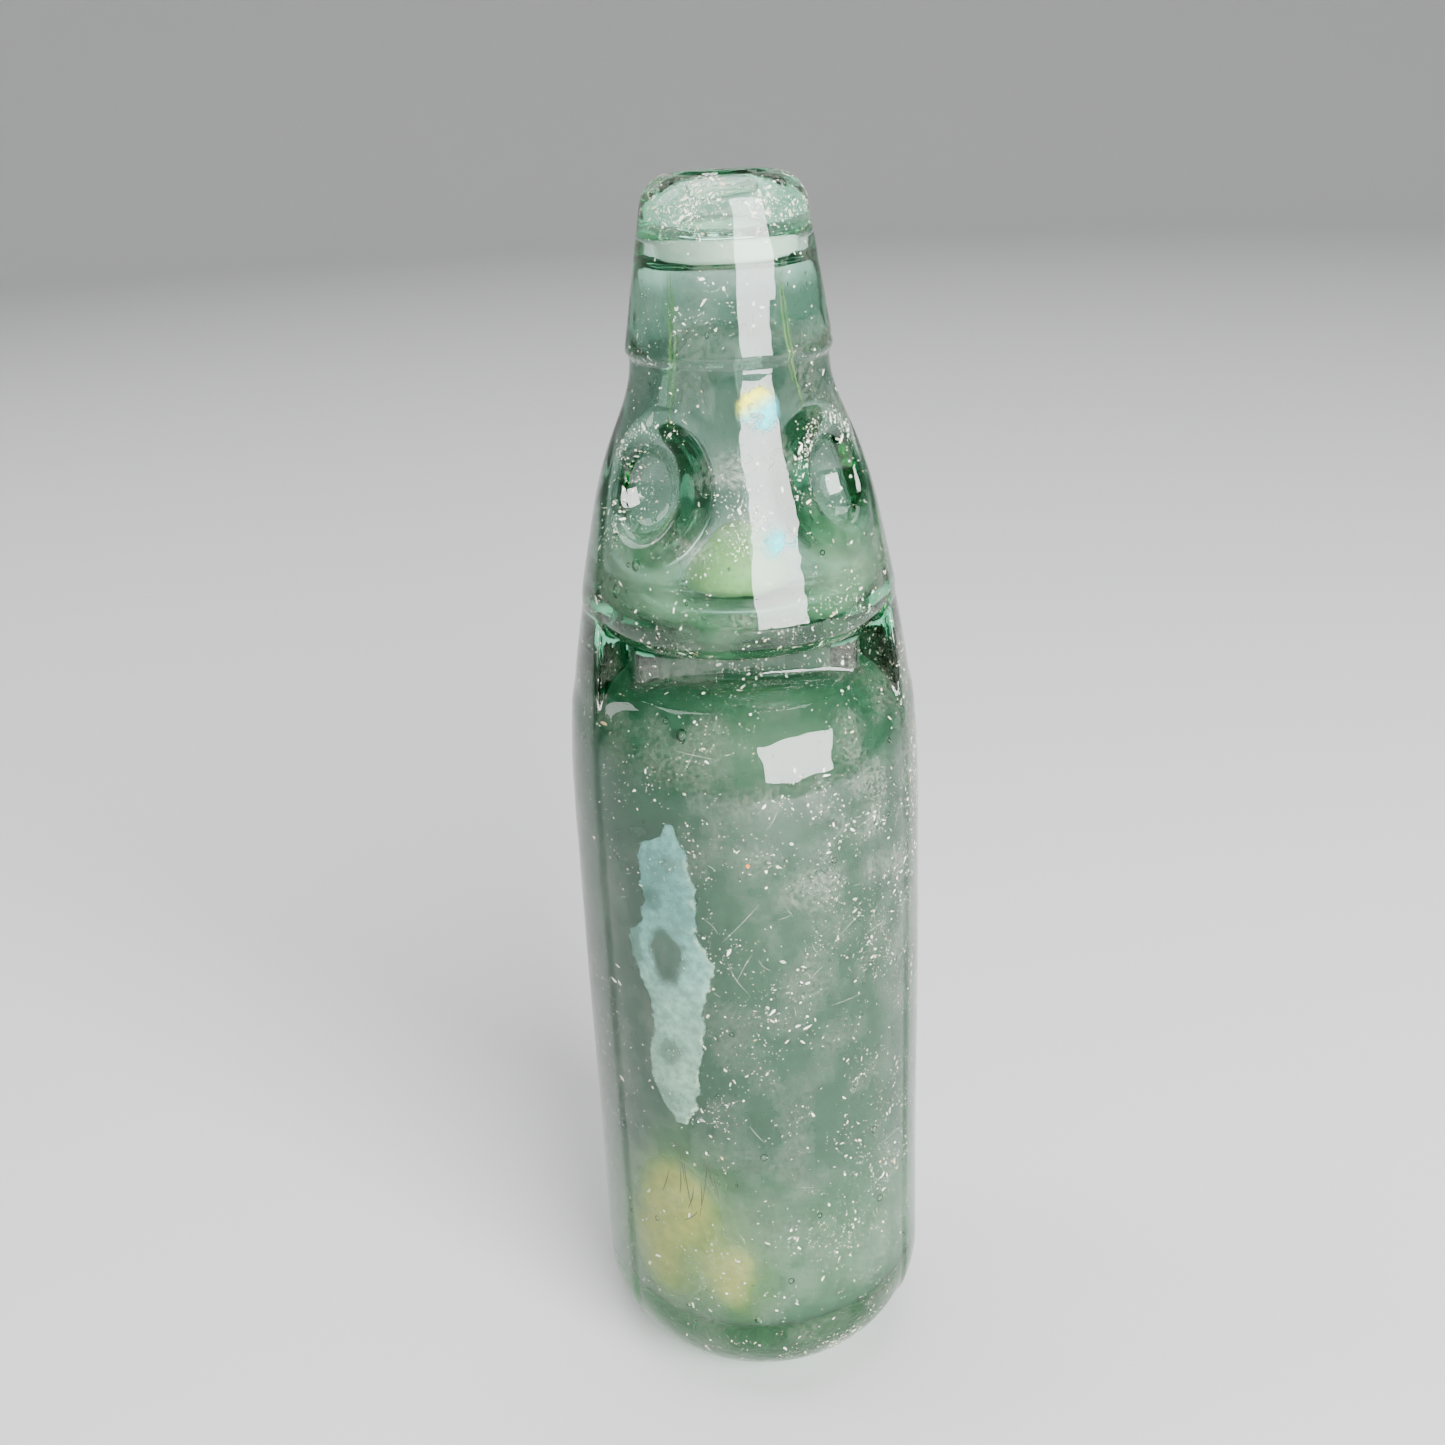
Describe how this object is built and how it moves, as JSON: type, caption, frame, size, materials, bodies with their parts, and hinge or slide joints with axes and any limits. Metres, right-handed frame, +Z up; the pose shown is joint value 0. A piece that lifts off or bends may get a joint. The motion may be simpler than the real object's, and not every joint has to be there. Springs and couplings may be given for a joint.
{
  "type": "marble-stoppered soda bottle",
  "caption": "Pinched-waist glass soda bottle with a loose glass marble, an inner rubber seal and a tapered lip collar.",
  "frame": {"origin": "centre of the foot ring, on the surface that the bottle stands on", "axes": "+Z up along the bottle's axis, out of the mouth; -Y is the front, the side with the two lugs"},
  "size_m": [0.0636, 0.0636, 0.228],
  "materials": {
    "bottle_glass": "seedy aqua-green bottle glass, fire polished",
    "ring_rubber": "aged matte rubber",
    "marble_glass": "pale lime-green and nearly opaque, as the marble looks through the bottle; its own colour is a guess"
  },
  "bodies": {
    "bottle": {"bottle_body": "bottle_glass", "lip_collar": "bottle_glass", "sealing_ring": "ring_rubber"},
    "marble": {"marble": "marble_glass"}
  },
  "joints": [
    {"name": "marble_slide", "type": "slide", "parent": "bottle", "child": "marble", "axis": [0, 0, 1], "range_m": [0, 0.0498]}
  ]
}
